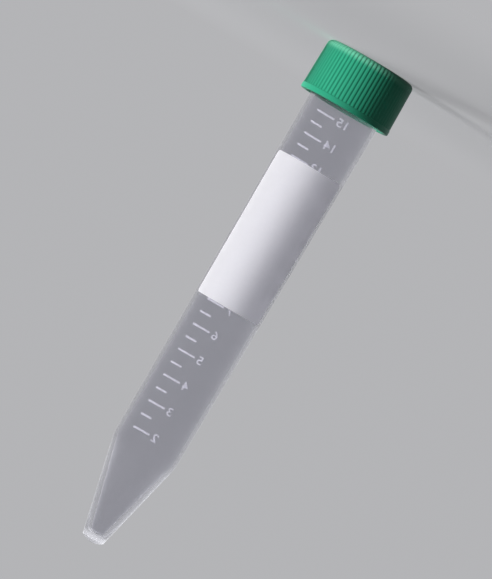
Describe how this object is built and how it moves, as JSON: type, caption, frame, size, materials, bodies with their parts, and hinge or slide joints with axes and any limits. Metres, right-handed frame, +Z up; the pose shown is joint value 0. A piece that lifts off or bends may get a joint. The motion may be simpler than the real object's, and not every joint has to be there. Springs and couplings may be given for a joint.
{
  "type": "15 ml conical tube",
  "caption": "Clear conical-bottom centrifuge tube with a ribbed screw cap, white writing patch and printed graduations, closed, standing on its cap.",
  "frame": {"origin": "Centre of the cap's flat top, in the plane of the surface that the closed tube stands on.", "axes": "+Z is up and runs along the tube's own axis from the cap's flat top to the closed tip. +Y points from the writing patch to the graduations printed on the far side. +X is to the right for somebody who looks along +Y."},
  "size_m": [0.0216, 0.0216, 0.12],
  "materials": {
    "clear_tube": "translucent polypropylene, moulded smooth, slightly milky",
    "green_cap": "opaque green polyethylene, satin",
    "white_print": "opaque white printing ink"
  },
  "bodies": {
    "cap": {"screw_cap": "green_cap"},
    "tube": {"tube": "clear_tube"}
  },
  "joints": [
    {"name": "tube_lift", "type": "slide", "parent": "cap", "child": "tube", "axis": [0, 0, 1], "range_m": [0, 0.03]}
  ]
}
